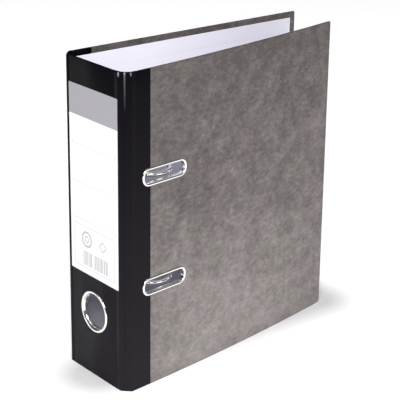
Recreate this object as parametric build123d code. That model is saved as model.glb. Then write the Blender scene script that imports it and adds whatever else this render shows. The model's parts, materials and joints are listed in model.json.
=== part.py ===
"""A lever arch file: a hinged board case, wrapped in cloth and paper, with a lever arch mechanism.

Millimetres. +Z is up along the spine. The spine faces -Y, the front cover is on +X and the back
cover, which carries the mechanism, is on -X. The origin is the middle of the spine's foot, halfway
through its board, at the surface that the file stands on.
"""

import os

from build123d import *
from math import atan2, cos, degrees, radians, sin, tan

# ---- driving dimensions: the case ----
height = 230.0
depth = 215.0
width = 72.0
bend = 6.0
board_t = 1.7
wrap_t = 0.2
lining_t = 0.15
turn_in = 15.0
lining_margin = 4.3
far_margin = 5.0
cloth_reach = 23.0
corner_r = 3.0
crease_gap = 0.04
wrap_overcut = 2.0
front_lean = 0.082
front_bow_r = 1923.0

# ---- driving dimensions: fittings on the case ----
slot_mid_z = 115.0
slot_y = 36.2
slot_flange = (41.0, 13.3)
slot_opening = (36.4, 9.4)
eyelet_wall = 0.5
eyelet_rise = 0.7
backing_rise = 0.5
backing_lip = 1.4
slot_end_flat = 0.6
rim_bevel = 0.6
ring_z = 49.5
ring_flange_r = 15.4
ring_bore_r = 12.5
ring_wall = 0.6
ring_rise = 0.9
washer_r = 15.0
washer_t = 0.5
ring_round = 0.45
label_low_z = 75.6
label_high_z = 211.8
label_x = 1.0
label_width = 56.0
label_t = 0.15
label_corner_r = 1.0

# ---- driving dimensions: the mechanism ----
hole_spacing = 80.0
arch_mid_z = 112.0
plate_y = (8.0, 63.0)
plate_over = 22.0
plate_t = 1.2
plate_corner_r = 4.0
window_y = (30.5, 44.5)
window_half = 30.0
wire_r = 1.75
rod_y = 24.0
rod_x = -26.0
post_y = 53.0
post_r = 2.5
crown_clear = 1.5
tip_gap = 0.4
post_collar_r = 4.5
post_collar_t = 1.0
post_wall = 0.9
post_hollow = 6.0
post_edge = 0.4
crank_y = 13.5
crank_lift = 3.6
crank_half = 11.0
bend_r = 3.0
fit_gap = 0.05
rivet_r = 2.0
rivet_head_r = 4.0
rivet_head_t = 0.6
rivet_inset = 6.0
bearing_inset = 6.0
bearing_half = 2.0
bearing_wall = 2.2
bearing_foot = 4.0
bearing_foot_t = 1.0

# ---- driving dimensions: the lever ----
lever_rise = 16.0
roller_r = 4.0
roller_width = 5.2
roller_gap = 0.6
roller_arm = 3.7
roller_arm_angle = 40.0
roller_pin_r = 1.1
roller_edge = 0.4
sheet_t = 1.2
side_gap = 0.2
lever_pin_r = 1.5
lever_pin_head_r = 2.4
lever_pin_head_t = 0.6
lever_eye_r = 3.6
lever_clear = 4.0
lever_strap_lift = 2.2
lever_neck = 7.0
lever_tip_r = 2.0
flange_drop = 1.6
flange_stop = 1.0
weld_lap = 0.2
cheek_taper = 0.6
grip_length = 21.0
grip_t = 1.1
grip_corner_r = 3.0

# ---- driving dimensions: the compressor and the spring ----
bar_y = (45.5, 60.5)
bar_over = 12.0
bar_t = 1.2
bar_lip = 2.4
bar_lip_t = 1.0
bar_lip_stop = 10.0
bar_corner_r = 3.0
bar_gap = 0.4
bar_clear = 0.35
clip_size = (9.0, 13.0)
clip_t = 2.2
clip_corner_r = 2.0
spring_wire_r = 0.45
spring_turns = 6
spring_slack = 0.35
spring_length = 9.0
spring_gap = 6.0

# ---- places worked out from the driving dimensions ----
face_y = -(wrap_t + board_t / 2)
border_d = 2 * wrap_t + board_t
inner_d = border_d + lining_t
half_width = width / 2
spine_half = half_width - bend
plate_x = -half_width + inner_d
plate_top = plate_x + plate_t
arch_zs = [arch_mid_z - hole_spacing / 2, arch_mid_z + hole_spacing / 2]
slot_zs = [slot_mid_z - hole_spacing / 2, slot_mid_z + hole_spacing / 2]
crank_x = rod_x + crank_lift
roller_x = crank_x + wire_r + roller_gap + roller_r
pivot_x = roller_x - roller_arm * sin(radians(roller_arm_angle))
roller_z = arch_mid_z + lever_rise
pivot_z = roller_z - roller_arm * cos(radians(roller_arm_angle))
cheek_in = roller_width / 2 + side_gap
cheek_out = cheek_in + sheet_t
ear_in = cheek_out + side_gap
ear_out = ear_in + sheet_t
crown_r = (post_y - rod_y) / 2


def at(distance):
    """The y of a point at this distance behind the spine's outer face."""
    return face_y + distance


class Panel:
    """One stiff panel of the case: s runs along its outer skin and d goes in from that skin."""

    def __init__(self, start, angle, length, side, start_turn, end_turn, bow_r=None):
        self.start = start
        self.angle = radians(angle)
        self.length = length
        self.side = side
        self.start_slope = tan(radians(start_turn / 2)) if start_turn else 0.0
        self.end_slope = tan(radians(end_turn / 2)) if end_turn else 0.0
        self.bow_r = bow_r

    def point(self, s, d):
        """The (x, y) at arc length s along the skin and depth d."""
        along = (cos(self.angle), sin(self.angle))
        inward = (-self.side * along[1], self.side * along[0])
        if self.bow_r is None:
            return tuple(p + s * a + d * n for p, a, n in zip(self.start, along, inward))
        turned = s / self.bow_r
        forth = (self.bow_r - d) * sin(turned)
        drop = self.bow_r - (self.bow_r - d) * cos(turned)
        return tuple(p + forth * a + drop * n for p, a, n in zip(self.start, along, inward))

    def angle_at(self, s):
        """The direction of the skin at s, in degrees."""
        turned = 0.0 if self.bow_r is None else self.side * s / self.bow_r
        return degrees(self.angle + turned)

    def near(self, d):
        """The s where the panel begins at depth d, behind its mitre."""
        return crease_gap + self.start_slope * max(d, 0) if self.start_slope else 0.0

    def far(self, d):
        """The s where the panel ends at depth d, before its mitre."""
        back = crease_gap + self.end_slope * max(d, 0) if self.end_slope else 0.0
        return self.length - back

    def edge(self, s0, s1, d):
        """The line or arc along the panel at depth d."""
        if self.bow_r is None:
            return Line(self.point(s0, d), self.point(s1, d))
        return ThreePointArc(self.point(s0, d), self.point((s0 + s1) / 2, d), self.point(s1, d))

    def layer(self, s0, s1, d0, d1, z0, z1):
        """A slab between two depths; an s of None runs to that end's mitre."""
        outer = (self.near(d0) if s0 is None else s0, self.far(d0) if s1 is None else s1)
        inner = (self.near(d1) if s0 is None else s0, self.far(d1) if s1 is None else s1)
        skin = self.edge(outer[0], outer[1], d0)
        back = self.edge(inner[0], inner[1], d1)
        closing = Line(self.point(outer[1], d0), self.point(inner[1], d1))
        opening = Line(self.point(inner[0], d1), self.point(outer[0], d0))
        face = make_face(Wire([*skin.edges(), *closing.edges(), *back.edges(), *opening.edges()]))
        return Pos(0, 0, z0) * extrude(Plane.XY * face, z1 - z0, dir=(0, 0, 1))

    def plane(self, s, z):
        """A plane on the skin: its x runs along the panel and its z points out of the case."""
        turned = radians(self.angle_at(s))
        along = (cos(turned), sin(turned), 0)
        out = (self.side * along[1], -self.side * along[0], 0)
        x, y = self.point(s, 0)
        return Plane(origin=(x, y, z), x_dir=along, z_dir=out)


# ---- the five panels of the case ----
strip_length = bend * 2**0.5
strip_angle = 45.0
lean_angle = degrees(atan2(front_lean, 1.0))
front_turn = strip_angle + lean_angle
cover_length = depth - bend

spine = Panel((-spine_half, face_y), 0.0, 2 * spine_half, 1, strip_angle, strip_angle)
front_strip = Panel((spine_half, face_y), strip_angle, strip_length, 1, strip_angle, front_turn)
front = Panel((half_width, at(bend)), 90 + lean_angle, cover_length, 1, front_turn, 0, front_bow_r)
back_strip = Panel((-spine_half, face_y), 180 - strip_angle, strip_length, -1, strip_angle, strip_angle)
back = Panel((-half_width, at(bend)), 90.0, cover_length, -1, strip_angle, 0)
cloth_s = cloth_reach - bend


def front_inner_x(distance):
    """The x of the front cover's lining at this distance behind the spine's outer face."""
    return front.point(distance - bend, inner_d)[0]


# the arches stand as high, and the lever is as long, as the closed front cover leaves room for
crown_x = front_inner_x((rod_y + post_y) / 2) - backing_rise - crown_clear
arch_spring_x = crown_x - wire_r - crown_r
lever_length = front_inner_x(crank_y) - lever_clear - grip_t - pivot_x


def round_far_corner(panel, solid, s, d, z, radius):
    """Rounds the bottom corner at a cover's fore edge, which runs through this s, d and z."""
    place = Vector(*panel.point(s, d), z)
    return fillet(solid.edges().sort_by_distance(place)[0], radius)


def panel_board(panel):
    """The greyboard core of one panel."""
    end = None if panel.end_slope else panel.length - wrap_t
    board = panel.layer(None, end, wrap_t, wrap_t + board_t, wrap_t, height - wrap_t)
    if panel.end_slope:
        return board
    return round_far_corner(panel, board, end, wrap_t + board_t / 2, wrap_t, corner_r - wrap_t)


def panel_wrap(panel, s0, s1):
    """The covering of one panel: its outer skin, its edges and the turn-ins behind them.

    An s1 of None on a cover runs round the far edge too.
    """
    far_edge = s1 is None and not panel.end_slope
    middle = wrap_t + board_t / 2
    start = -wrap_overcut if s0 is None else s0 - wrap_overcut
    stop = (panel.length if s1 is None else s1) + wrap_overcut
    core_stop = panel.length - wrap_t if far_edge else stop
    window_stop = panel.length - turn_in if far_edge else stop
    whole = panel.layer(s0, s1, 0, border_d, 0, height)
    core = panel.layer(start, core_stop, wrap_t, wrap_t + board_t, wrap_t, height - wrap_t)
    if far_edge:
        whole = round_far_corner(panel, whole, panel.length, middle, 0, corner_r)
        core = round_far_corner(panel, core, core_stop, middle, wrap_t, corner_r - wrap_t)
    window = panel.layer(start, window_stop, middle, border_d + 1, turn_in, height - turn_in)
    return whole - core - window


def panel_lining(panel, s1):
    """The lining: a sheet over the turn-ins that sinks to the board between them."""
    low, high = lining_margin, height - lining_margin
    sheet = panel.layer(None, s1, border_d, inner_d, low, high)
    sunk_end = None if s1 is None else panel.length - turn_in
    sunk = panel.layer(None, sunk_end, wrap_t + board_t, border_d, turn_in, height - turn_in)
    return sheet + sunk


def slot_prism(size, z):
    """A rounded slot's prism, right through the front cover at this height."""
    plane = front.plane(slot_y - bend, z)
    shape = RectangleRounded(size[0], size[1], size[1] / 2 - slot_end_flat)
    return extrude(plane * shape, 8, both=True)


def grown(size, by):
    """A width and height, larger by this much all round."""
    return (size[0] + 2 * by, size[1] + 2 * by)


def cylinder_y(radius, y0, y1, x, z):
    """A cylinder along Y between two y values."""
    return Pos(x, (y0 + y1) / 2, z) * Rot(90, 0, 0) * Cylinder(radius, abs(y1 - y0))


def cylinder_x(radius, x0, x1, y, z):
    """A cylinder along X between two x values."""
    return Pos((x0 + x1) / 2, y, z) * Rot(0, 90, 0) * Cylinder(radius, abs(x1 - x0))


def cylinder_z(radius, z0, z1, x, y):
    """A cylinder along Z between two heights."""
    return Pos(x, y, (z0 + z1) / 2) * Cylinder(radius, abs(z1 - z0))


def block(x0, x1, y0, y1, z0, z1):
    """A box between two corners."""
    size = (x1 - x0, y1 - y0, z1 - z0)
    return Pos((x0 + x1) / 2, (y0 + y1) / 2, (z0 + z1) / 2) * Box(*size)


def through_front(solid):
    """Cuts the two slots for the eyelets' collars."""
    for z in slot_zs:
        solid -= slot_prism(grown(slot_opening, eyelet_wall), z)
    return solid


def through_spine(solid):
    """Cuts the hole for the finger ring's collar."""
    return solid - cylinder_y(ring_bore_r + ring_wall, face_y - 1, face_y + 9, 0, ring_z)


# the mechanism's rivets sit in from the base plate's corners
rivet_ys = [at(plate_y[0] + rivet_inset), at(plate_y[1] - rivet_inset)]
plate_low_z = arch_zs[0] - plate_over
plate_high_z = arch_zs[1] + plate_over
rivet_places = [
    (y, z) for y in rivet_ys for z in (plate_low_z + rivet_inset, plate_high_z - rivet_inset)
]


def through_back(solid):
    """Cuts the rivet holes of the back cover."""
    for y, z in rivet_places:
        solid -= cylinder_x(rivet_r, -half_width - 1, plate_top + 1, y, z)
    return solid


# ---- the case: boards ----
def spine_board():
    return through_spine(panel_board(spine))


def front_strip_board():
    return panel_board(front_strip)


def back_strip_board():
    return panel_board(back_strip)


def front_board():
    return through_front(panel_board(front))


def back_board():
    return through_back(panel_board(back))


# ---- the case: cloth over the spine and its bends ----
def spine_cloth():
    return through_spine(panel_wrap(spine, None, None))


def front_strip_cloth():
    return panel_wrap(front_strip, None, None)


def back_strip_cloth():
    return panel_wrap(back_strip, None, None)


def front_cloth_flap():
    return through_front(panel_wrap(front, None, cloth_s))


def back_cloth_flap():
    return through_back(panel_wrap(back, None, cloth_s))


# ---- the case: marbled paper over the covers ----
def front_cover_paper():
    return through_front(panel_wrap(front, cloth_s, None))


def back_cover_paper():
    return through_back(panel_wrap(back, cloth_s, None))


# ---- the case: linings ----
def spine_lining():
    return through_spine(panel_lining(spine, None))


def front_strip_lining():
    return panel_lining(front_strip, None)


def back_strip_lining():
    return panel_lining(back_strip, None)


def front_lining():
    return through_front(panel_lining(front, front.length - far_margin))


def back_lining():
    return through_back(panel_lining(back, back.length - far_margin))


# ---- fittings on the spine ----
def spine_label():
    low = (label_x - label_width / 2, face_y - label_t)
    sheet = block(low[0], low[0] + label_width, low[1], face_y, label_low_z, label_high_z)
    return fillet(sheet.edges().filter_by(Axis.Y), label_corner_r)


def finger_ring():
    """The ring's outer flange and its collar, turned about the finger hole's axis."""
    reach = inner_d + washer_t
    profile = Rectangle(ring_flange_r - ring_bore_r, ring_rise, align=(Align.MIN, Align.MIN))
    collar = Rectangle(ring_wall, reach, align=(Align.MIN, Align.MAX))
    section = Pos(ring_bore_r, 0) * (profile + collar)
    crest = section.vertices().group_by(Axis.Y)[-1]
    section = fillet(crest, ring_rise * ring_round)
    ring = revolve(Plane.XZ * section, Axis.Z)
    return Pos(0, face_y, ring_z) * Rot(90, 0, 0) * ring


def ring_washer():
    """The washer that the ring's collar holds against the lining."""
    start = face_y + inner_d
    washer = cylinder_y(washer_r, start, start + washer_t, 0, ring_z)
    return washer - cylinder_y(ring_bore_r + ring_wall, start - 1, start + 2, 0, ring_z)


# ---- fittings on the front cover ----
def slot_eyelet(z):
    """A slot's rim on the front cover with its collar through the board."""
    span = (slot_y - bend - slot_flange[0], slot_y - bend + slot_flange[0])
    low, high = z - slot_flange[1], z + slot_flange[1]
    rim = front.layer(*span, -eyelet_rise, 0, low, high) & slot_prism(slot_flange, z)
    plane = front.plane(slot_y - bend, z)
    crest = rim.faces().sort_by(Axis(plane.origin, plane.z_dir))[-1].edges()
    rim = chamfer(crest, eyelet_rise * rim_bevel)
    collar = front.layer(*span, 0, inner_d + backing_rise, low, high)
    collar = collar & slot_prism(grown(slot_opening, eyelet_wall), z)
    return rim + collar - slot_prism(slot_opening, z)


def slot_backing(z):
    """The plate inside the cover that the eyelet's collar is turned over."""
    size = grown(slot_opening, eyelet_wall + backing_lip)
    span = (slot_y - bend - size[0], slot_y - bend + size[0])
    low, high = z - size[1], z + size[1]
    plate = front.layer(*span, inner_d, inner_d + backing_rise, low, high)
    return (plate & slot_prism(size, z)) - slot_prism(grown(slot_opening, eyelet_wall), z)


# ---- the mechanism: what is fixed to the back cover ----
def base_plate():
    """The plate with the two ears that carry the lever."""
    y0, y1 = at(plate_y[0]), at(plate_y[1])
    plate = block(plate_x, plate_top, y0, y1, plate_low_z, plate_high_z)
    plate = fillet(plate.edges().filter_by(Axis.X), plate_corner_r)
    window = (arch_mid_z - window_half, arch_mid_z + window_half)
    plate -= block(plate_x - 1, plate_top + 1, at(window_y[0]), at(window_y[1]), *window)
    for y, z in rivet_places:
        plate -= cylinder_x(rivet_r, plate_x - 1, plate_top + 1, y, z)
    middle = at(crank_y)
    for side in (-1, 1):
        y_in, y_out = sorted((middle + side * ear_in, middle + side * ear_out))
        ear = block(plate_top, pivot_x, y_in, y_out, pivot_z - lever_eye_r, pivot_z + lever_eye_r)
        ear += cylinder_y(lever_eye_r, y_in, y_out, pivot_x, pivot_z)
        plate += ear - cylinder_y(lever_pin_r, y_in - 1, y_out + 1, pivot_x, pivot_z)
    return plate


def mechanism_rivets():
    """Four rivets through the back cover and the base plate."""
    group = []
    for y, z in rivet_places:
        shank = cylinder_x(rivet_r, -half_width, plate_top, y, z)
        outer = cylinder_x(rivet_head_r, -half_width - rivet_head_t, -half_width, y, z)
        outer = chamfer(outer.faces().sort_by(Axis.X)[0].edges(), rivet_head_t * rim_bevel)
        inner = cylinder_x(rivet_head_r * 0.8, plate_top, plate_top + rivet_head_t, y, z)
        inner = chamfer(inner.faces().sort_by(Axis.X)[-1].edges(), rivet_head_t * rim_bevel)
        group.append(shank + outer + inner)
    return Compound(children=group)


def rod_bearings():
    """The two saddles that hold the arches' rod down on the plate."""
    group = []
    for z, inward in ((arch_zs[0], 1), (arch_zs[1], -1)):
        middle = z + inward * bearing_inset
        half = wire_r + bearing_wall
        y = at(rod_y)
        low, high = middle - bearing_half, middle + bearing_half
        saddle = block(plate_top, rod_x, y - half, y + half, low, high)
        saddle += cylinder_z(half, low, high, rod_x, y)
        reach = half + bearing_foot
        foot = block(plate_top, plate_top + bearing_foot_t, y - reach, y + reach, low, high)
        group.append(saddle + foot - cylinder_z(wire_r + fit_gap, low - 1, high + 1, rod_x, y))
    return Compound(children=group)


def post(z):
    """One fixed post with its collar; its hollow top takes the arch's tip."""
    y = at(post_y)
    top = arch_spring_x - tip_gap
    shaft = cylinder_x(post_r, plate_top, top, y, z)
    shaft = chamfer(shaft.faces().sort_by(Axis.X)[-1].edges(), post_edge)
    shaft -= cylinder_x(post_r - post_wall, top - post_hollow, top + 1, y, z)
    return shaft + cylinder_x(post_collar_r, plate_top, plate_top + post_collar_t, y, z)


def arch_spring():
    """The coil round the rod that holds the arches shut or open."""
    radius = wire_r + spring_wire_r + spring_slack
    low = arch_zs[0] + bearing_inset + bearing_half + spring_gap
    path = Helix(spring_length / spring_turns, spring_length, radius)
    start = path @ 0
    section = Plane(origin=start, z_dir=path % 0) * Circle(spring_wire_r)
    coil = sweep(section, path=path)
    return Pos(rod_x, at(rod_y), low) * coil


def lever_pins():
    """Two stub pins, one through each ear and the lever's cheek beside it."""
    group = []
    middle = at(crank_y)
    for side in (-1, 1):
        inner, outer = middle + side * cheek_in, middle + side * ear_out
        pin = cylinder_y(lever_pin_r, inner, outer, pivot_x, pivot_z)
        head = cylinder_y(lever_pin_head_r, outer, outer + side * lever_pin_head_t, pivot_x, pivot_z)
        group.append(pin + head)
    return Compound(children=group)


# ---- the mechanism: what moves ----
def arch_wire():
    """Both arches, the rod between them and the crank, bent from one wire."""
    y_rod, y_post, y_crank = at(rod_y), at(post_y), at(crank_y)
    low, high = arch_zs
    crank_low, crank_high = roller_z - crank_half, roller_z + crank_half
    points = [
        (arch_spring_x, y_rod, low),
        (rod_x, y_rod, low),
        (rod_x, y_rod, crank_low),
        (crank_x, y_crank, crank_low),
        (crank_x, y_crank, crank_high),
        (rod_x, y_rod, crank_high),
        (rod_x, y_rod, high),
        (arch_spring_x, y_rod, high),
    ]
    run = FilletPolyline(*points, radius=bend_r)
    crest_x = arch_spring_x + crown_r
    y_mid = (y_rod + y_post) / 2
    first = ThreePointArc((arch_spring_x, y_post, low), (crest_x, y_mid, low), points[0])
    last = ThreePointArc(points[-1], (crest_x, y_mid, high), (arch_spring_x, y_post, high))
    path = Wire([*first.edges(), *run.edges(), *last.edges()])
    section = Plane(origin=(arch_spring_x, y_post, low), z_dir=(1, 0, 0)) * Circle(wire_r)
    return sweep(section, path=path)


def lever():
    """The pressed lever: two cheeks round the roller and a flat handle down from them."""
    middle = at(crank_y)
    strap_x = pivot_x + lever_strap_lift
    tip_z = pivot_z - lever_length
    neck_z = pivot_z - lever_neck
    strap = block(strap_x, strap_x + sheet_t, middle - cheek_out, middle + cheek_out, tip_z, neck_z)
    strap = fillet(strap.edges().filter_by(Axis.X).group_by(Axis.Z)[0], lever_tip_r)
    whole = strap
    for side in (-1, 1):
        y_in, y_out = sorted((middle + side * cheek_in, middle + side * cheek_out))
        hull = make_hull(
            [
                *(Pos(pivot_x, pivot_z) * Circle(lever_eye_r)).edges(),
                *(Pos(roller_x, roller_z) * Circle(lever_eye_r - cheek_taper)).edges(),
            ]
        )
        plane = Plane(origin=(0, y_out, 0), x_dir=(1, 0, 0), z_dir=(0, -1, 0))
        cheek = extrude(plane * hull, y_out - y_in)
        web = block(pivot_x, strap_x + sheet_t, y_in, y_out, neck_z - weld_lap, pivot_z)
        flange_low = tip_z + grip_length + flange_stop
        web += block(strap_x - flange_drop, strap_x + sheet_t, y_in, y_out, flange_low, neck_z)
        cheek += web
        cheek -= cylinder_y(lever_pin_r + fit_gap, y_in - 1, y_out + 1, pivot_x, pivot_z)
        cheek -= cylinder_y(roller_pin_r, y_in - 1, y_out + 1, roller_x, roller_z)
        whole += cheek
    return whole


def lever_grip():
    """The moulded sleeve on the lever's end."""
    middle = at(crank_y)
    strap_x = pivot_x + lever_strap_lift
    tip_z = pivot_z - lever_length
    half = cheek_out + grip_t
    x0, x1 = strap_x - grip_t, strap_x + sheet_t + grip_t
    sleeve = block(x0, x1, middle - half, middle + half, tip_z - grip_t, tip_z + grip_length)
    sleeve = fillet(sleeve.edges().filter_by(Axis.X).group_by(Axis.Z)[0], grip_corner_r)
    return sleeve - lever()


def lever_roller():
    """The roller that presses the crank down."""
    middle = at(crank_y)
    half = roller_width / 2
    wheel = cylinder_y(roller_r, middle - half, middle + half, roller_x, roller_z)
    wheel = chamfer(wheel.edges().filter_by(GeomType.CIRCLE), roller_edge)
    return wheel - cylinder_y(roller_pin_r + fit_gap, middle - 9, middle + 9, roller_x, roller_z)


def roller_pin():
    """The roller's pin, with a head outside each cheek."""
    middle = at(crank_y)
    return cylinder_y(roller_pin_r, middle - cheek_out, middle + cheek_out, roller_x, roller_z)


bar_x = plate_top + post_collar_t + bar_gap


def compressor_bar():
    """The folded bar that slides along the posts and holds the papers down."""
    y0, y1 = at(bar_y[0]), at(bar_y[1])
    low, high = arch_zs[0] - bar_over, arch_zs[1] + bar_over
    bar = block(bar_x, bar_x + bar_t, y0, y1, low, high)
    bar = fillet(bar.edges().filter_by(Axis.X), bar_corner_r)
    lip_span = (low + bar_lip_stop, high - bar_lip_stop)
    for y in (y0, y1 - bar_lip_t):
        bar += block(bar_x + bar_t, bar_x + bar_lip, y, y + bar_lip_t, *lip_span)
    for z in arch_zs:
        bar -= cylinder_x(post_r + bar_clear, bar_x - 1, bar_x + 4, at(post_y), z)
    return bar


def compressor_clips():
    """The two moulded clips that grip the posts."""
    group = []
    for z in arch_zs:
        y = at(post_y)
        low = bar_x + bar_t
        half_y, half_z = clip_size[0] / 2, clip_size[1] / 2
        clip = block(low, low + clip_t, y - half_y, y + half_y, z - half_z, z + half_z)
        clip = fillet(clip.edges().filter_by(Axis.X), clip_corner_r)
        group.append(clip - cylinder_x(post_r + fit_gap, low - 1, low + clip_t + 1, y, z))
    return Compound(children=group)


PIECES = {
    "spine_board": spine_board,
    "front_strip_board": front_strip_board,
    "back_strip_board": back_strip_board,
    "front_board": front_board,
    "back_board": back_board,
    "spine_cloth": spine_cloth,
    "front_strip_cloth": front_strip_cloth,
    "back_strip_cloth": back_strip_cloth,
    "front_cloth_flap": front_cloth_flap,
    "back_cloth_flap": back_cloth_flap,
    "front_cover_paper": front_cover_paper,
    "back_cover_paper": back_cover_paper,
    "spine_lining": spine_lining,
    "front_strip_lining": front_strip_lining,
    "back_strip_lining": back_strip_lining,
    "front_lining": front_lining,
    "back_lining": back_lining,
    "spine_label": spine_label,
    "finger_ring": finger_ring,
    "ring_washer": ring_washer,
    "lower_slot_eyelet": lambda: slot_eyelet(slot_zs[0]),
    "upper_slot_eyelet": lambda: slot_eyelet(slot_zs[1]),
    "lower_slot_backing": lambda: slot_backing(slot_zs[0]),
    "upper_slot_backing": lambda: slot_backing(slot_zs[1]),
    "base_plate": base_plate,
    "mechanism_rivets": mechanism_rivets,
    "rod_bearings": rod_bearings,
    "lower_post": lambda: post(arch_zs[0]),
    "upper_post": lambda: post(arch_zs[1]),
    "arch_spring": arch_spring,
    "lever_pins": lever_pins,
    "arch_wire": arch_wire,
    "lever": lever,
    "lever_grip": lever_grip,
    "lever_roller": lever_roller,
    "roller_pin": roller_pin,
    "compressor_bar": compressor_bar,
    "compressor_clips": compressor_clips,
}

os.makedirs("parts", exist_ok=True)
for name, make in PIECES.items():
    export_step(make(), f"parts/{name}.step")
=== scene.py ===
import json
from math import atan, atan2, cos, pi, radians, sin

import bmesh
import bpy
from mathutils import Euler, Matrix, Vector


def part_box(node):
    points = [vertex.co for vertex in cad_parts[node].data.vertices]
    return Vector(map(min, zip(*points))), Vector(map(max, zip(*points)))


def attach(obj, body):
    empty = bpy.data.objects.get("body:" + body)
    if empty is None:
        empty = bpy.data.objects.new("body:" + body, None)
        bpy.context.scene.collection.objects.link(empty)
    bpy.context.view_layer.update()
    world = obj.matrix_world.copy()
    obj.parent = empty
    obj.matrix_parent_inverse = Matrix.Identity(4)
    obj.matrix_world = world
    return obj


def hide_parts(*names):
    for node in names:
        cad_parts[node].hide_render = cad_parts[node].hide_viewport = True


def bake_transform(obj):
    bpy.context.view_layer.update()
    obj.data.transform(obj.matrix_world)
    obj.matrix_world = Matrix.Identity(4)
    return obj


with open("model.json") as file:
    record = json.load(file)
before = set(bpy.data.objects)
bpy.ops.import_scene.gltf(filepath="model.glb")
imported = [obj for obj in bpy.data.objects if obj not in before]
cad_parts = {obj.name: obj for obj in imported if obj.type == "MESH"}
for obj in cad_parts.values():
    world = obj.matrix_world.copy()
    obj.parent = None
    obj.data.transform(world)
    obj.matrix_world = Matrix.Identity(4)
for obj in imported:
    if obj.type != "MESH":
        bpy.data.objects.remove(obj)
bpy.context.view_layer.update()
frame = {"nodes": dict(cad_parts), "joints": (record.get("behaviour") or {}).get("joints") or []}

mm = 0.001

# ---------------------------------------------------------------------------------------------
# The camera and the studio: a long lens above and to the right of the spine, a pale floor under
# the file that glows except close to it, and large soft lights. The lens is shifted down a little,
# which keeps the upright edges nearly parallel.
# ---------------------------------------------------------------------------------------------
camera_place = Vector((0.72406, -0.50248, 0.46333))
camera_turn = 0.8826
camera_dip = 0.3223
camera_roll = 0.0124

camera = bpy.data.objects.new("camera", bpy.data.cameras.new("camera"))
camera.data.lens = 123.5
camera.data.sensor_width = 36.0
camera.data.shift_y = -0.125
aim = Euler((pi / 2 - camera_dip, 0, camera_turn)).to_matrix()
aim = aim @ Matrix.Rotation(camera_roll, 3, "Z")
camera.matrix_world = Matrix.Translation(camera_place) @ aim.to_4x4()
bpy.context.scene.collection.objects.link(camera)
bpy.context.scene.camera = camera


class Wire:
    """An output of a node, so that shader maths reads as an expression."""

    def __init__(self, finish, socket):
        self.finish = finish
        self.socket = socket

    def maths(self, operation, first, second):
        return self.finish.node("ShaderNodeMath", {"operation": operation}, {0: first, 1: second})

    def __add__(self, other):
        return self.maths("ADD", self, other)

    def __radd__(self, other):
        return self.maths("ADD", other, self)

    def __sub__(self, other):
        return self.maths("SUBTRACT", self, other)

    def __mul__(self, other):
        return self.maths("MULTIPLY", self, other)

    def __truediv__(self, other):
        return self.maths("DIVIDE", self, other)

    def __pow__(self, other):
        return self.maths("POWER", self, other)

    def __gt__(self, other):
        return self.maths("GREATER_THAN", self, other)

    def __lt__(self, other):
        return self.maths("LESS_THAN", self, other)

    def __abs__(self):
        return self.maths("ABSOLUTE", self, 0.0)


class Finish:
    """One material: a Principled shader, its fixed values, and the nodes that vary it."""

    def __init__(self, name, **fixed):
        self.material = bpy.data.materials.new(name)
        self.material.use_nodes = True
        self.tree = self.material.node_tree
        self.shader = self.tree.nodes["Principled BSDF"]
        for socket, value in fixed.items():
            self.shader.inputs[socket.replace("_", " ")].default_value = value

    def node(self, kind, settings=None, sockets=None, output=0):
        """Adds a node, makes its settings, fills its sockets and gives one of its outputs."""
        made = self.tree.nodes.new(kind)
        for name, value in (settings or {}).items():
            if name == "stops":
                ramp = made.color_ramp
                while len(ramp.elements) < len(value):
                    ramp.elements.new(0.5)
                for element, (place, colour) in zip(ramp.elements, value):
                    element.position = place
                    element.color = colour
            else:
                setattr(made, name, value)
        for name, value in (sockets or {}).items():
            self.feed(made.inputs[name], value)
        return Wire(self, made.outputs[output])

    def feed(self, socket, value):
        """Links a wire to a socket, or sets the socket's own value."""
        if isinstance(value, Wire):
            self.tree.links.new(value.socket, socket)
        else:
            socket.default_value = value

    def vary(self, **sockets):
        """Feeds the shader's own sockets."""
        for name, value in sockets.items():
            self.feed(self.shader.inputs[name.replace("_", " ")], value)

    def place(self):
        """The point on the object, in metres, and its three numbers."""
        point = self.node("ShaderNodeTexCoord", output="Object")
        split = self.node("ShaderNodeSeparateXYZ", sockets={0: point}).socket.node
        return point, *(Wire(self, split.outputs[axis]) for axis in "XYZ")

    def noise(self, point, scale, detail=4.0, roughness=0.55, stretch=None):
        """Noise of so many cycles per metre, stretched along the axes if asked."""
        if stretch:
            point = self.node("ShaderNodeMapping", sockets={"Vector": point, "Scale": stretch})
        values = {"Vector": point, "Scale": scale, "Detail": detail, "Roughness": roughness}
        return self.node("ShaderNodeTexNoise", sockets=values)

    def ramp(self, value, *stops):
        """A colour ramp through these (place, grey or colour) stops."""
        colours = [(p, (c, c, c, 1.0) if isinstance(c, float) else (*c, 1.0)) for p, c in stops]
        return self.node("ShaderNodeValToRGB", {"stops": colours}, {"Fac": value})

    def mix(self, factor, first, second):
        """A colour between two colours."""
        first, second = ((*c, 1.0) if isinstance(c, tuple) else c for c in (first, second))
        names = {"Factor": factor, 6: first, 7: second}
        return self.node("ShaderNodeMix", {"data_type": "RGBA"}, names, output=2)

    def bump(self, height, depth, strength=1.0):
        """Feeds a bump of this depth in metres to the shader."""
        values = {"Height": height, "Distance": depth, "Strength": strength}
        self.vary(Normal=self.node("ShaderNodeBump", sockets=values))

    def on(self, *pieces):
        """Puts this material on pieces or CAD nodes."""
        for piece in pieces:
            target = frame["nodes"][piece] if isinstance(piece, str) else piece
            target.data.materials.clear()
            target.data.materials.append(self.material)


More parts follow.
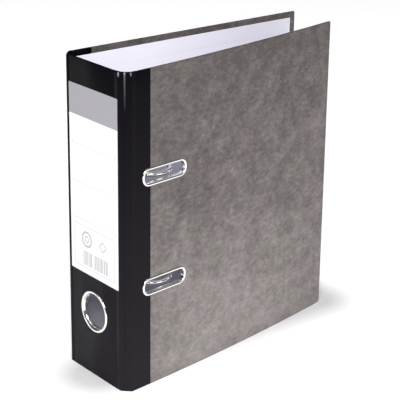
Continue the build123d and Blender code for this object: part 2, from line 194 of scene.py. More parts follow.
sweep = Finish("studio sweep", Roughness=0.9, Emission_Strength=0.7)
point, x, y, _ = sweep.place()
half_depth = 0.105
off_end = sweep.ramp(abs(y - half_depth) - half_depth, (0.0, 0.0), (1.0, 1.0))
off_file = (x * x + off_end * off_end) ** 0.5
away = (x * x + y * y) ** 0.5
far_glow = sweep.ramp(away / 2, (0.05, 0.75), (0.5, 1.0))
# The glow is painted light from the floor. It fades out close to the file, so the floor round the
# file's foot is darker, a painted shade there; this also keeps the glow out of the file's insides.
glow = far_glow * sweep.ramp(off_file, (0.015, 0.0), (0.045, 1.0))
sweep.vary(
    Base_Color=sweep.mix(sweep.noise(point, 3.0), (0.88, 0.88, 0.885), (0.90, 0.90, 0.905)),
    Emission_Color=sweep.mix(glow, (0.0, 0.0, 0.0), (1.0, 1.0, 1.0)),
)
bpy.ops.object.select_all(action="DESELECT")
floor_size = 40.0
bpy.ops.mesh.primitive_plane_add(size=floor_size)
floor = bpy.context.object
floor.name = "floor"
sweep.on(floor)

world = bpy.data.worlds.new("studio")
world.use_nodes = True
world.node_tree.nodes["Background"].inputs["Color"].default_value = (1.0, 1.0, 1.0, 1.0)
world.node_tree.nodes["Background"].inputs["Strength"].default_value = 0.12
bpy.context.scene.world = world
bpy.context.scene.view_settings.view_transform = "Standard"


def soft_light(name, place, target, size, power):
    """A square soft box that faces a point."""
    lamp = bpy.data.objects.new(name, bpy.data.lights.new(name, "AREA"))
    lamp.data.size = size
    lamp.data.energy = power
    lamp.location = place
    lamp.rotation_euler = (Vector(target) - Vector(place)).to_track_quat("-Z", "Y").to_euler()
    bpy.context.scene.collection.objects.link(lamp)


middle = (0, 0.1, 0.1)
soft_light("overhead box", (0.15, -0.1, 1.4), middle, 1.0, 5.0)
soft_light("high right box", (1.05, -0.7, 1.15), middle, 0.7, 22.0)
soft_light("front box", (-0.3, -1.4, 0.5), middle, 0.8, 3.0)
soft_light("right box", (1.5, 0.4, 0.3), middle, 0.7, 2.5)

# ---------------------------------------------------------------------------------------------
# The cloth over the spine: a black bookcloth with a fine pressed grain. One strip is glued round
# the spine board and both bend strips and 23 mm onto each cover, and turned in at head and foot.
# ---------------------------------------------------------------------------------------------
joint_place = {j["name"]: Vector(j["pos_m"]) for j in frame["joints"] if "pos_m" in j}
spine_low, spine_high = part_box("spine_cloth")
height = spine_high.z
face_y = spine_low.y
border_depth = spine_high.y - spine_low.y
wrap = 0.2 * mm
turn_in = 15 * mm
front_lean = 0.082
front_bow_radius = 1923 * mm
corner_radius = 3 * mm
crease_round = 0.5 * mm
rim_round = 0.45 * mm
same_place = 0.01 * mm
near_front = joint_place["front_strip_fold"].xy
far_front = joint_place["front_cover_fold"].xy
near_back = joint_place["back_strip_fold"].xy
far_back = joint_place["back_cover_fold"].xy
cover_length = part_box("back_cover_paper")[1].y - far_back.y
cloth_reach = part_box("back_cover_paper")[0].y - far_back.y


def on_front(s, depth=0.0):
    """The plan point at s along the front cover's bowed skin, this deep behind it."""
    start = pi / 2 + atan(front_lean)
    centre = far_front + front_bow_radius * Vector((-sin(start), cos(start)))
    turned = start + s / front_bow_radius
    return centre + (front_bow_radius - depth) * Vector((sin(turned), -cos(turned)))


def on_back(s, depth=0.0):
    """The plan point at s along the back cover's flat skin, this deep behind it."""
    return far_back + Vector((depth, s))


def edit(piece, mode="VERT"):
    """Opens a piece in edit mode with nothing selected, and gives its editable mesh."""
    bpy.ops.object.select_all(action="DESELECT")
    bpy.context.view_layer.objects.active = piece
    piece.select_set(True)
    bpy.ops.object.mode_set(mode="EDIT")
    bpy.ops.mesh.select_mode(type=mode)
    bpy.ops.mesh.select_all(action="DESELECT")
    return bmesh.from_edit_mesh(piece.data)


def pick(mesh, parts, wanted):
    """Selects the vertices, edges or faces for which wanted is true of their middle."""
    bpy.ops.mesh.select_all(action="DESELECT")
    found = 0
    for part in parts:
        corners = [v.co for v in part.verts] if hasattr(part, "verts") else [part.co]
        chosen = wanted(part, sum(corners, Vector()) / len(corners))
        part.select_set(bool(chosen))
        found += bool(chosen)
    mesh.select_flush_mode()
    return found


def apply(piece, kind, **settings):
    """Adds a modifier with these settings and applies it."""
    bpy.ops.object.select_all(action="DESELECT")
    bpy.context.view_layer.objects.active = piece
    piece.select_set(True)
    modifier = piece.modifiers.new(kind.lower(), kind)
    for name, value in settings.items():
        setattr(modifier, name, value)
    bpy.ops.object.modifier_apply(modifier=modifier.name)


def standing_sheet(name, plan, low, high):
    """A sheet standing on edge, drawn out step by step through these plan points."""
    first, second = plan[0], plan[1]
    along = second - first
    bpy.ops.object.select_all(action="DESELECT")
    centre = (first + second) / 2
    turn = (pi / 2, 0, atan2(along.y, along.x))
    bpy.ops.mesh.primitive_plane_add(size=1, location=(*centre, (low + high) / 2), rotation=turn)
    piece = bpy.context.object
    piece.name = name
    piece.scale = (along.length, high - low, 1)
    bpy.ops.object.transform_apply(location=True, rotation=True, scale=True)
    mesh = edit(piece, "EDGE")
    for here, there in zip(plan[1:], plan[2:]):
        pick(mesh, mesh.edges, lambda e, m: (m.xy - here).length < same_place)
        step = {"value": (*(there - here), 0)}
        bpy.ops.mesh.extrude_region_move(TRANSFORM_OT_translate=step)
        mesh = bmesh.from_edit_mesh(piece.data)
    bpy.ops.object.mode_set(mode="OBJECT")
    return piece


def wrapped(name, plan, depth, soft_creases=(), round_corner=None, open_ends=(0, -1)):
    """A covering glued round board, drawn along a plan: outer skin, head and foot, turn-ins.

    The plan runs from the back cover round to the front cover, so that the skin faces out.
    """
    piece = standing_sheet(name, plan, 0, height)
    mesh = edit(piece, "EDGE")
    creases = [Vector(c) for c in soft_creases]
    if pick(mesh, mesh.edges, lambda e, m: any((m.xy - c).length < same_place for c in creases)):
        bpy.ops.mesh.bevel(affect="EDGES", offset=crease_round, segments=4)
    bpy.ops.object.mode_set(mode="OBJECT")
    if round_corner is not None:
        mesh = edit(piece, "VERT")
        pick(mesh, mesh.verts, lambda v, m: (m - Vector((*round_corner, 0))).length < 0.1 * mm)
        bpy.ops.mesh.bevel(affect="VERTICES", offset=corner_radius, segments=8)
        bpy.ops.object.mode_set(mode="OBJECT")
    apply(piece, "SOLIDIFY", thickness=depth, offset=-1, use_even_offset=True)
    ends = [plan[i] for i in open_ends]
    mesh = edit(piece, "EDGE")

    def on_rim(edge, middle):
        sharp = edge.is_manifold and edge.calc_face_angle() > 1.0
        return sharp and all((middle.xy - end).length > 1.5 * depth for end in ends)

    pick(mesh, mesh.edges, on_rim)
    bpy.ops.mesh.bevel(affect="EDGES", offset=rim_round, segments=3)
    for level, facing in ((turn_in, 1), (height - turn_in, -1)):
        bpy.ops.mesh.select_all(action="SELECT")
        bpy.ops.mesh.bisect(plane_co=(0, 0, level), plane_no=(0, 0, facing))
    bpy.ops.object.mode_set(mode="OBJECT")
    return piece


def hollow_out(piece, plan, fore_edge=None, open_ends=(0, -1)):
    """Opens the window between the turn-ins and the ends, then gives the covering its thickness."""
    heart = Vector((0, 0.45 * cover_length))
    ends = [plan[i] for i in open_ends]
    mesh = edit(piece, "FACE")

    def unseen(face, middle):
        if any((middle.xy - end).length < 2.0 * mm and abs(face.normal.z) < 0.5 for end in ends):
            return True
        inner = (middle.xy - heart).dot(face.normal.xy) < 0 and abs(face.normal.z) < 0.1
        clear = turn_in < middle.z < height - turn_in
        return inner and clear and (fore_edge is None or middle.y < fore_edge)

    pick(mesh, mesh.faces, unseen)
    bpy.ops.mesh.delete(type="FACE")
    bpy.ops.object.mode_set(mode="OBJECT")
    apply(piece, "SOLIDIFY", thickness=wrap, offset=-1)
    bpy.ops.object.shade_smooth_by_angle(angle=radians(40))


def cut_piece(whole, name, *planes):
    """A copy of a piece with only what lies behind each of these (point, direction) planes."""
    piece = whole.copy()
    piece.data = whole.data.copy()
    piece.name = name
    bpy.context.scene.collection.objects.link(piece)
    edit(piece, "FACE")
    for point, direction in planes:
        bpy.ops.mesh.select_all(action="SELECT")
        cut = {"plane_co": point, "plane_no": direction}
        bpy.ops.mesh.bisect(**cut, use_fill=True, clear_outer=True)
    bpy.ops.object.mode_set(mode="OBJECT")
    return piece


under_paper = 1 * mm
cloth_plan = [
    on_back(cloth_reach + under_paper),
    on_back(0),
    near_back,
    near_front,
    on_front(0),
    on_front(cloth_reach / 2),
    on_front(cloth_reach + under_paper),
]
creases = [far_back, near_back, near_front, far_front]
cloth = wrapped("cloth", cloth_plan, border_depth, soft_creases=creases)
hollow_out(cloth, cloth_plan)

# where the cloth is parted, so that each flat part follows its own panel
past_crease = 4 * mm
front_strip_way = (far_front - near_front).normalized().to_3d()
back_strip_way = (far_back - near_back).normalized().to_3d()
front_strip_middle = ((near_front + far_front) / 2).to_3d()
back_strip_middle = ((near_back + far_back) / 2).to_3d()
front_spine_edge = Vector((near_front.x - past_crease, 0, 0))
back_spine_edge = Vector((near_back.x + past_crease, 0, 0))
front_cover_edge = Vector((0, far_front.y + past_crease, 0))
across, along = Vector((1, 0, 0)), Vector((0, 1, 0))


def part_at_creases(whole, name):
    """Parts a covering into its panels and bends."""
    front_end, back_end = (front_strip_middle, front_strip_way), (back_strip_middle, back_strip_way)
    spine = cut_piece(
        whole,
        f"{name}_spine",
        (front_spine_edge, across),
        (back_spine_edge, -across),
        (front_cover_edge, along),
    )
    near = cut_piece(whole, f"{name}_front_bend_near", front_end, (front_spine_edge, -across))
    far = cut_piece(
        whole,
        f"{name}_front_bend_far",
        (front_strip_middle, -front_strip_way),
        (front_cover_edge, along),
    )
    cover = cut_piece(whole, f"{name}_front", (front_cover_edge, -along), (Vector(), -across))
    back_near = cut_piece(whole, f"{name}_back_bend_near", back_end, (back_spine_edge, across))
    back_far = cut_piece(
        whole,
        f"{name}_back_bend_far",
        (back_strip_middle, -back_strip_way),
        (front_cover_edge, along),
    )
    back_cover = cut_piece(whole, f"{name}_back", (front_cover_edge, -along), (Vector(), across))
    bpy.data.objects.remove(whole)
    return spine, near, far, cover, back_near, back_far, back_cover


def bend_with_case(parts):
    """Rides the flat parts on their panels; the parts over the creases stay where they lie, on no
    body.
    """
    spine, near, far, cover, back_near, back_far, back_cover = parts
    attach(spine, "spine")
    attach(cover, "front_cover")
    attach(back_cover, "back_cover")
    reach = 1.3 * mm
    turns = (
        (near, "spine", "front_strip", near_front, across, front_strip_way),
        (far, "front_strip", "front_cover", far_front, front_strip_way, along),
        (back_near, "spine", "back_strip", near_back, -across, back_strip_way),
        (back_far, "back_strip", "back_cover", far_back, back_strip_way, along),
    )
    for part, first, second, crease, before, after in turns:
        way = reach * (before + after).normalized()
        crease.to_3d() - way
        crease.to_3d() + way
        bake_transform(part)


cloth_parts = part_at_creases(cloth, "cloth")
bookcloth = Finish("black bookcloth", Specular_IOR_Level=0.05)
point, x, y, z = bookcloth.place()
weft = bookcloth.noise(point, 2600.0, 2.0, 0.5, stretch=(1.0, 1.0, 0.22))
warp = bookcloth.noise(point, 2600.0, 2.0, 0.5, stretch=(0.22, 0.22, 1.0))
cloudy = bookcloth.noise(point, 22.0, 3.0, 0.5)
grain = (weft + warp) * 0.5
# Painted light: the cloth's colour is made lighter towards the foot and darker towards the head,
# standing in for light bounced up from the floor.
painted_bounce_light = bookcloth.ramp(z / height, (0.0, 1.0), (0.55, 0.42), (1.0, 0.0))
cloth_colour = bookcloth.mix(
    painted_bounce_light * (0.8 + cloudy * 0.4), (0.0016, 0.0010, 0.0030), (0.0215, 0.0190, 0.0245)
)
cloth_colour = bookcloth.mix(grain * 0.30, cloth_colour, (0.0, 0.0, 0.0))
scuff = bookcloth.noise(point, 500.0, 4.0, 0.7)
# Pale marks on the bends. The long faint lines down the middle of each bend strip are a painted
# highlight, in place of the sheen along a rounded bend. The small spots at the very top of the
# bends are rubbed wear.
wear_and_highlight_lines = (
    ((near_front + far_front) / 2, (0.88, 0.0), (0.97, 0.20), (0.992, 0.35), (0.996, 1.0)),
    ((near_back + far_back) / 2, (0.88, 0.0), (0.97, 0.20), (0.992, 0.35), (0.996, 1.0)),
    (near_front, (0.985, 0.0), (0.994, 0.9)),
    (near_back, (0.985, 0.0), (0.994, 0.9)),
    (far_front, (0.988, 0.0), (0.995, 0.6)),
)
for line, *fading in wear_and_highlight_lines:
    off_x, off_y = x - line.x, y - line.y
    from_line = (off_x * off_x + off_y * off_y) ** 0.5 / mm
    rub_and_painted_highlight = bookcloth.ramp(from_line / 4, (0.06, 1.0), (0.20, 0.0))
    rub_and_painted_highlight = rub_and_painted_highlight * bookcloth.ramp(z / height, *fading)
    cloth_colour = bookcloth.mix(rub_and_painted_highlight * (0.25 + scuff * 0.55), cloth_colour, (0.62, 0.61, 0.62))
bookcloth.vary(
    Base_Color=cloth_colour,
    Roughness=0.46 + cloudy * 0.10 + grain * 0.06,
)
bookcloth.bump(grain, 0.00012, 0.35)
bookcloth.on(*cloth_parts)
bend_with_case(cloth_parts)
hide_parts("spine_cloth")
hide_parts("front_strip_cloth")
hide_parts("front_cloth_flap")
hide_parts("back_strip_cloth")
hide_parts("back_cloth_flap")

# ---------------------------------------------------------------------------------------------
# The cover papers: mottled grey-brown cloud paper over each cover, lapped on the cloth's edge,
# turned in at head, foot and fore edge, with the far foot corner rounded.
# ---------------------------------------------------------------------------------------------
lap = 0.1 * mm
fore_window = cover_length - turn_in
bow_steps = 20
bowed_length = fore_window - cloth_reach
front_stops = [cloth_reach + bowed_length * i / bow_steps for i in range(bow_steps + 1)]
front_stops += [fore_window + turn_in / 2, cover_length]
front_plan = [on_front(s, -lap) for s in front_stops]
back_plan = [on_back(s, -lap) for s in (cover_length, fore_window, cloth_reach)]
paper_depth = border_depth + lap

front_paper = wrapped("cover_paper_front", front_plan, paper_depth, (), front_plan[-1], (0,))
hollow_out(front_paper, front_plan, on_front(fore_window).y, (0,))
back_paper = wrapped("cover_paper_back", back_plan, paper_depth, (), back_plan[0], (-1,))
hollow_out(back_paper, back_plan, on_back(fore_window).y, (-1,))

cloud = Finish("cloud paper", Specular_IOR_Level=0.3)
point, _, _, z = cloud.place()
drift = cloud.noise(point, 11.0, 3.0, 0.5)
hue = cloud.noise(point, 28.0, 4.0, 0.6, stretch=(1.0, 1.0, 1.3))
blots = cloud.noise(point, 75.0, 5.0, 0.68)
mottle = cloud.noise(point, 300.0, 4.0, 0.65, stretch=(1.0, 0.7, 1.3))
fibre = cloud.noise(point, 1500.0, 2.0, 0.5)
flecks = cloud.ramp(cloud.noise(point, 520.0, 2.0, 0.5), (0.68, 0.0), (0.76, 1.0))
specks = cloud.ramp(cloud.noise(point, 560.0, 2.0, 0.5), (0.25, 1.0), (0.31, 0.0))
# Painted shade: the paper's tone is made darker towards the head of the cover, standing in for the
# cover being less lit there.
painted_shade_toward_head = cloud.ramp(z / height, (0.0, 0.0), (0.5, 0.17), (1.0, 0.265))
depth_of_tone = drift * 0.20 + blots * 0.42 + mottle * 0.38 + 0.115 - painted_shade_toward_head
purple_grey = cloud.ramp(
    depth_of_tone,
    (0.30, (0.086, 0.071, 0.074)),
    (0.44, (0.150, 0.128, 0.130)),
    (0.56, (0.232, 0.202, 0.202)),
    (0.72, (0.340, 0.304, 0.300)),
)
olive_grey = cloud.ramp(
    depth_of_tone,
    (0.30, (0.080, 0.070, 0.066)),
    (0.44, (0.141, 0.127, 0.119)),
    (0.56, (0.222, 0.202, 0.190)),
    (0.72, (0.330, 0.306, 0.288)),
)
tone = cloud.mix(cloud.ramp(hue, (0.40, 0.0), (0.60, 1.0)), purple_grey, olive_grey)
tone = cloud.mix(flecks * 0.35, tone, (0.46, 0.43, 0.41))
tone = cloud.mix(specks * 0.35, tone, (0.060, 0.052, 0.052))
cloud.vary(Base_Color=tone, Roughness=0.62 + mottle * 0.12)
cloud.bump(fibre * 0.6 + mottle * 0.4, 0.00006, 0.5)
cloud.on(front_paper, back_paper)
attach(front_paper, "front_cover")
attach(back_paper, "back_cover")
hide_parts("front_cover_paper")
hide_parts("back_cover_paper")

# ---------------------------------------------------------------------------------------------
# The lining: one sheet of smooth white paper pasted over the turn-ins inside the file. The step
# of the turned-in edges shows through it as a faint ridge.
# ---------------------------------------------------------------------------------------------
lining_low, lining_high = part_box("front_lining")
lining_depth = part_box("spine_lining")[1].y - spine_high.y
lining_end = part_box("back_lining")[1].y - far_back.y
first_stop = 4 * mm
lining_stops = [
    first_stop + (lining_end - first_stop) * i / bow_steps for i in range(bow_steps + 1)
]
half_turn = sin(pi / 8) / cos(pi / 8)
spine_pull = Vector((border_depth * half_turn, border_depth))
front_pull = (far_front - near_front).normalized() * border_depth * half_turn
front_inward = Vector((-1, 1)).normalized() * border_depth
lean_allowance = 1.12
lining_round = 0.6 * mm
lining_creases = [
    on_back(border_depth * half_turn, border_depth),
    near_back + spine_pull,
    near_front + Vector((-spine_pull.x, spine_pull.y)),
    far_front - front_pull * lean_allowance + front_inward,
]
lining_plan = [on_back(lining_end, border_depth), *lining_creases]
lining_plan += [on_front(s, border_depth) for s in lining_stops]

lining = standing_sheet("lining", lining_plan, lining_low.z, lining_high.z)
mesh = edit(lining, "EDGE")
pick(mesh, mesh.edges, lambda e, m: any((m.xy - c).length < same_place for c in lining_creases))
bpy.ops.mesh.bevel(affect="EDGES", offset=lining_round, segments=4)
bpy.ops.object.mode_set(mode="OBJECT")
apply(lining, "SOLIDIFY", thickness=lining_depth, offset=-1, use_even_offset=True)
bpy.ops.object.shade_smooth_by_angle(angle=radians(40))
lining_parts = part_at_creases(lining, "lining")

paste_paper = Finish("white lining paper", Specular_IOR_Level=0.3)
point, _, _, z = paste_paper.place()
smooth_fibre = paste_paper.noise(point, 900.0, 3.0, 0.6)
waviness = paste_paper.noise(point, 30.0, 2.0, 0.5)
low, high, soft = turn_in / height, 1 - turn_in / height, 0.002
low_step = paste_paper.ramp(z / height, (low - soft, 1.0), (low + soft, 0.0))
high_step = paste_paper.ramp(z / height, (high - soft, 0.0), (high + soft, 1.0))
paste_paper.vary(
    Base_Color=paste_paper.mix(waviness, (0.735, 0.715, 0.81), (0.785, 0.77, 0.85)),
    Roughness=0.55 + smooth_fibre * 0.1,
)
paste_paper.bump((low_step + high_step) * 0.8 + smooth_fibre * 0.12 + waviness * 0.1, 0.0002, 0.6)
paste_paper.on(*lining_parts)
bend_with_case(lining_parts)
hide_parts("spine_lining")
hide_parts("front_strip_lining")
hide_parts("front_lining")
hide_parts("back_strip_lining")
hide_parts("back_lining")

# ---------------------------------------------------------------------------------------------
# The boards: five grey pulp boards under the coverings, one for the spine, one for each bend and
# one for each cover. They are the frame's own shapes and only take their material here.
# ---------------------------------------------------------------------------------------------
greyboard = Finish("greyboard", Specular_IOR_Level=0.2)
point, *_ = greyboard.place()
pulp = greyboard.noise(point, 900.0, 4.0, 0.7)
greyboard.vary(
    Base_Color=greyboard.mix(pulp, (0.20, 0.185, 0.165), (0.36, 0.335, 0.30)),
    Roughness=0.85 + pulp * 0.1,
)
greyboard.bump(pulp, 0.0002, 0.5)
greyboard.on("spine_board", "front_strip_board", "back_strip_board", "front_board", "back_board")

# ---------------------------------------------------------------------------------------------
# Holes for the fittings: the finger hole through the spine's cloth and lining, and the two slots
# through the front cover's cloth, paper and lining. Each is punched with a cutter of its shape.
# ---------------------------------------------------------------------------------------------
ring_low, ring_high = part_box("finger_ring")
ring_centre = (ring_low + ring_high) / 2
ring_bore = 12.5 * mm
slot_length, slot_height = 36.4 * mm, 9.4 * mm
eyelet_length, eyelet_height = 41.0 * mm, 13.3 * mm
slot_from_face = 36.2 * mm
slot_s = slot_from_face - (far_front.y - face_y)
slot_slope = atan(front_lean) + slot_s / front_bow_radius
slot_levels = {
    which: (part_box(f"{which}_slot_eyelet")[0].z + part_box(f"{which}_slot_eyelet")[1].z) / 2
    for which in ("lower", "upper")
}


def on_slot(level):
    """The matrix that lays a flat shape on the front cover over a slot: x to the fore edge."""
    flat = Matrix(((0, 0, 1, 0), (1, 0, 0, 0), (0, 1, 0, 0), (0, 0, 0, 1)))
    lean = Matrix.Rotation(slot_slope, 4, "Z")
    return Matrix.Translation((*on_front(slot_s), level)) @ lean @ flat


def rounded_plate(name, length, breadth, radius, steps=10):
    """A flat face with rounded corners, at the origin."""
    bpy.ops.object.select_all(action="DESELECT")
    bpy.ops.mesh.primitive_plane_add(size=1)
    piece = bpy.context.object
    piece.name = name
    piece.scale = (length, breadth, 1)
    bpy.ops.object.transform_apply(location=False, rotation=False, scale=True)
    bpy.ops.object.mode_set(mode="EDIT")
    bpy.ops.mesh.select_all(action="SELECT")
    bpy.ops.mesh.bevel(affect="VERTICES", offset=radius, segments=steps)
    bpy.ops.object.mode_set(mode="OBJECT")
    return piece


def punch(pieces, cutter):
    """Cuts a hole of the cutter's shape through each piece, and throws the cutter away."""
    for piece in pieces:
        apply(piece, "BOOLEAN", operation="DIFFERENCE", object=cutter, solver="EXACT")
    bpy.data.objects.remove(cutter)


bpy.ops.object.select_all(action="DESELECT")
ring_wall = 0.6 * mm
bpy.ops.mesh.primitive_cylinder_add(
    vertices=72,
    radius=ring_bore + ring_wall,
    depth=12 * mm,
    location=ring_centre,
    rotation=(pi / 2, 0, 0),
)
punch((cloth_parts[0], lining_parts[0]), bpy.context.object)

room, cutter_round, cutter_depth = 1 * mm, 4.6 * mm, 14 * mm
for level in slot_levels.values():
    cutter = rounded_plate("slot cutter", slot_length + room, slot_height + room, cutter_round)
    apply(cutter, "SOLIDIFY", thickness=cutter_depth, offset=0)
    cutter.data.transform(on_slot(level))
    punch((cloth_parts[3], front_paper, lining_parts[3]), cutter)

# ---------------------------------------------------------------------------------------------
# The spine label: smooth white paper pasted on the cloth, printed with a grey heading band, faint
# writing fields, and a small panel with two plain marks and a run of bars. The helpers take the
# print's places and breadths in millimetres.
# ---------------------------------------------------------------------------------------------
label_low, label_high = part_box("spine_label")
label_middle = (label_low.x + label_high.x) / 2
label_paper = Finish("printed label paper", Specular_IOR_Level=0.4, Coat_Weight=0.08)
point, x, _, z = label_paper.place()


def within(value, low, high):
    """One between two values and nothing outside them."""
    return (value > low * mm) * (value < high * mm)


def ruled(value, middle, breadth, soft=0.12):
    """A thin printed rule at one place, with slightly soft edges."""
    off = abs(value - middle * mm) / mm
    return label_paper.ramp(off, (breadth / 2, 1.0), (breadth / 2 + soft, 0.0))


def inked(paper, mask, colour):
    """The paper with this colour printed where the mask is one."""
    return label_paper.mix(mask, paper, colour)


ink_grain = label_paper.noise(point, 1800.0, 2.0, 0.5)
printed = label_paper.mix(ink_grain, (0.82, 0.82, 0.835), (0.86, 0.86, 0.87))
heading_foot = 190.0
heading = (z > heading_foot * mm) * (0.96 + ink_grain * 0.04)
printed = inked(printed, heading, (0.32, 0.31, 0.34))
writing_span = within(x, -22.0, 23.0)
tick_half, tick_breadth, line_breadth = 0.6, 0.5, 0.25
for line_z in (169.3, 142.0, 115.0):
    line = ruled(z, line_z, line_breadth)
    printed = inked(printed, line * writing_span * 0.60, (0.42, 0.40, 0.46))
    tick_span = within(z, line_z - tick_half, line_z + tick_half)
    ticks = tick_span * (ruled(x, -23.5, tick_breadth) + ruled(x, 25.8, tick_breadth))
    printed = inked(printed, ticks * 0.75, (0.25, 0.23, 0.27))
panel = within(x, -22.9, 24.7) * within(z, 79.8, 111.0)
panel_heart = within(x, -22.5, 24.3) * within(z, 80.2, 110.6)
printed = inked(printed, (panel - panel_heart) * 0.65, (0.42, 0.40, 0.46))

across_only = label_paper.node("ShaderNodeCombineXYZ", sockets={0: x})
bars = label_paper.noise(across_only, 900.0, 0.0, 0.0)
bar_gaps = (bars > 0.5) * within(x, -12.6, 18.7) * within(z, 82.0, 92.5)
printed = inked(printed, bar_gaps * 0.62, (0.20, 0.19, 0.21))

marks_z, roundel_x, lozenge_x = 101.5 * mm, -8.0 * mm, 11.0 * mm
off_x, off_z = (x - roundel_x) / mm, (z - marks_z) / mm
away = (off_x * off_x + off_z * off_z) ** 0.5
roundel = (away < 6.0) * (away > 4.6) + (away < 2.6) * (away > 1.8)
printed = inked(printed, roundel * 0.60, (0.20, 0.20, 0.22))
off_x, off_z = abs((x - lozenge_x) / mm), abs((z - marks_z) / mm)
lozenge = (off_x + off_z < 4.4) * (off_x + off_z > 3.2)
printed = inked(printed, lozenge * 0.55, (0.20, 0.20, 0.22))
label_paper.vary(Base_Color=printed, Roughness=0.38 + ink_grain * 0.1)
label_paper.bump(ink_grain, 0.00002, 0.3)

bpy.ops.object.select_all(action="DESELECT")
bpy.ops.mesh.primitive_plane_add(size=1, rotation=(pi / 2, 0, 0))
label = bpy.context.object
label.name = "label"
label.scale = (label_high.x - label_low.x, label_high.z - label_low.z, 1)
bpy.ops.object.transform_apply(location=False, rotation=True, scale=True)
edit(label)
bpy.ops.mesh.select_all(action="SELECT")
label_round = 1.0 * mm
bpy.ops.mesh.bevel(affect="VERTICES", offset=label_round, segments=6)
bpy.ops.transform.translate(value=(label_middle, label_low.y, (label_low.z + label_high.z) / 2))
bpy.ops.object.mode_set(mode="OBJECT")
apply(label, "SOLIDIFY", thickness=label_high.y - label_low.y, offset=-1)
apply(label, "BEVEL", width=0.05 * mm, segments=2, limit_method="ANGLE")
label_paper.on(label)
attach(label, "spine")
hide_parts("spine_label")

# ---------------------------------------------------------------------------------------------
# The slot eyelets: two long rims pressed from thin nickelled steel. Each has a rolled lip on the
# front cover and a collar through the board, turned over a plain backing plate inside.
# ---------------------------------------------------------------------------------------------
chrome = Finish("bright nickel plate", Metallic=1.0)
point, *_ = chrome.place()
brushing = chrome.noise(point, 400.0, 3.0, 0.55)
haze = chrome.noise(point, 60.0, 3.0, 0.5)
chrome.vary(
    Base_Color=chrome.mix(haze, (0.78, 0.77, 0.76), (0.88, 0.87, 0.86)),
    Roughness=0.07 + brushing * 0.06 + haze * 0.04,
)
chrome.bump(brushing, 0.00003, 0.25)

rim_rise = 0.7 * mm
rim_sheet = 0.35 * mm
rim_lip = (eyelet_height - slot_height) / 2
past_lining = 0.5 * mm
collar_reach = border_depth + lining_depth + past_lining


def roll_rim(name, length, breadth, radius, lip, rise, steps, corner_steps=10):
    """A flat face drawn inward step by step over a rounded lip; it leaves the middle selected."""
    piece = rounded_plate(name, length, breadth, radius, corner_steps)
    edit(piece, "FACE")
    bpy.ops.mesh.select_all(action="SELECT")
    before_in = before_up = 0.0
    for step in range(1, steps + 1):
        turn = pi * step / steps
        inward, upward = lip * (1 - cos(turn)) / 2, rise * sin(turn)
        bpy.ops.mesh.inset(thickness=inward - before_in, depth=upward - before_up)
        before_in, before_up = inward, upward
    return piece


hair = 0.0001 * mm
weld = 0.001 * mm
throat_drop = 0.4 * mm
rim_corner = eyelet_height / 2 - 0.6 * mm
for which, level in slot_levels.items():
    rim = roll_rim(
        f"{which}_slot_rim", eyelet_length, eyelet_height, rim_corner, rim_lip, rim_rise, 10
    )
    for drop in (throat_drop, collar_reach - throat_drop):
        bpy.ops.mesh.inset(thickness=hair, depth=-drop)
    bpy.ops.mesh.delete(type="ONLY_FACE")
    bpy.ops.mesh.select_all(action="SELECT")
    bpy.ops.mesh.remove_doubles(threshold=weld)
    bpy.ops.object.mode_set(mode="OBJECT")
    apply(rim, "SOLIDIFY", thickness=rim_sheet, offset=-1)
    rim.data.transform(on_slot(level))
    bpy.ops.object.shade_smooth_by_angle(angle=radians(50))
    chrome.on(rim)
    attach(rim, "front_cover")
    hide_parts(f"{which}_slot_eyelet")

# ---------------------------------------------------------------------------------------------
# The finger ring: a spun nickelled collar with a rolled lip, pushed through the spine board and
# closed inside over a flat washer.
# ---------------------------------------------------------------------------------------------
flange_radius = (ring_high.x - ring_low.x) / 2
flange_rise = face_y - ring_low.y
collar_depth = ring_high.y - face_y
bpy.ops.object.select_all(action="DESELECT")
bpy.ops.mesh.primitive_circle_add(vertices=96, radius=flange_radius, fill_type="NGON")
ring = bpy.context.object
ring.name = "finger_hole_ring"
edit(ring, "FACE")
bpy.ops.mesh.select_all(action="SELECT")
before_in = before_up = 0.0
ring_lip, lip_turn, lip_steps = 2.1 * mm, 0.88 * pi, 12
for step in range(1, lip_steps + 1):
    turn = lip_turn * step / lip_steps
    inward, upward = ring_lip * (1 - cos(turn)) / 2, flange_rise * sin(turn) ** 0.8
    bpy.ops.mesh.inset(thickness=inward - before_in, depth=upward - before_up)
    before_in, before_up = inward, upward
throat, throat_steps = flange_radius - before_in - ring_bore, 5
throat_fall = 1.5 * mm / throat_steps
for step in range(1, throat_steps + 1):
    part = sin(step / throat_steps * pi / 2) - sin((step - 1) / throat_steps * pi / 2)
    bpy.ops.mesh.inset(thickness=throat * part, depth=-throat_fall)
    before_up -= throat_fall
bpy.ops.mesh.inset(thickness=hair, depth=-(collar_depth + before_up))
bpy.ops.mesh.delete(type="ONLY_FACE")
bpy.ops.mesh.select_all(action="SELECT")
bpy.ops.mesh.remove_doubles(threshold=weld)
bpy.ops.object.mode_set(mode="OBJECT")
ring_sheet = 0.4 * mm
apply(ring, "SOLIDIFY", thickness=ring_sheet, offset=-1)
face_place = Vector((0, face_y, ring_centre.z))
ring.data.transform(Matrix.Translation(face_place) @ Matrix.Rotation(pi / 2, 4, "X"))
bpy.ops.object.shade_smooth_by_angle(angle=radians(50))
chrome.on(ring)
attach(ring, "spine")
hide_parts("finger_ring")

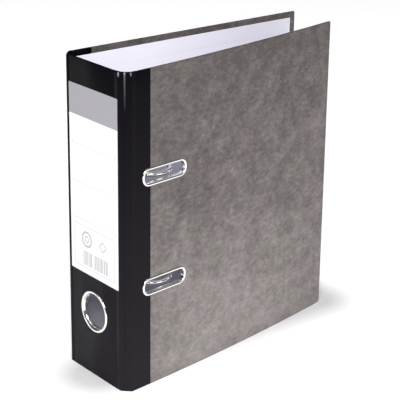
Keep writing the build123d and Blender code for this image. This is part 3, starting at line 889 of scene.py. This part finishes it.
# ---------------------------------------------------------------------------------------------
# The lever-arch mechanism: a nickelled base plate riveted inside the back cover, with two hollow
# posts, one bent wire that makes both arches, and a pressed lever with a moulded grip and roller.
# ---------------------------------------------------------------------------------------------
chrome.on("lower_post", "upper_post", "arch_wire", "roller_pin", "lever_pins", "mechanism_rivets")

pressed_steel = Finish("nickelled pressed steel", Metallic=1.0)
point, *_ = pressed_steel.place()
rolling = pressed_steel.noise(point, 700.0, 3.0, 0.6, stretch=(1.0, 1.0, 0.06))
patches = pressed_steel.noise(point, 45.0, 3.0, 0.55)
pressed_steel.vary(
    Base_Color=pressed_steel.mix(patches, (0.60, 0.59, 0.57), (0.72, 0.71, 0.69)),
    Roughness=0.20 + rolling * 0.16 + patches * 0.06,
)
pressed_steel.bump(rolling, 0.00004, 0.3)
pressed_steel.on(
    "base_plate",
    "rod_bearings",
    "lever",
    "compressor_bar",
    "ring_washer",
    "lower_slot_backing",
    "upper_slot_backing",
)

spring_wire = Finish("drawn spring wire", Metallic=1.0)
point, *_ = spring_wire.place()
drawn = spring_wire.noise(point, 1600.0, 3.0, 0.6)
spring_wire.vary(
    Base_Color=spring_wire.mix(drawn, (0.30, 0.295, 0.285), (0.46, 0.45, 0.44)),
    Roughness=0.30 + drawn * 0.12,
)
spring_wire.bump(drawn, 0.00002, 0.4)
spring_wire.on("arch_spring")

moulded_black = Finish("moulded black plastic", Specular_IOR_Level=0.45)
point, *_ = moulded_black.place()
spark = moulded_black.noise(point, 1300.0, 3.0, 0.6)
flow = moulded_black.noise(point, 40.0, 2.0, 0.5)
moulded_black.vary(
    Base_Color=moulded_black.mix(flow, (0.010, 0.010, 0.011), (0.018, 0.018, 0.020)),
    Roughness=0.34 + spark * 0.14,
)
moulded_black.bump(spark, 0.00006, 0.4)
moulded_black.on("lever_grip", "compressor_clips")

acetal = Finish("natural acetal", Specular_IOR_Level=0.5)
point, *_ = acetal.place()
cooling = acetal.noise(point, 300.0, 3.0, 0.5)
acetal.vary(
    Base_Color=acetal.mix(cooling, (0.72, 0.71, 0.68), (0.80, 0.79, 0.76)),
    Roughness=0.32 + cooling * 0.1,
)
acetal.bump(cooling, 0.00003, 0.3)
acetal.on("lever_roller")
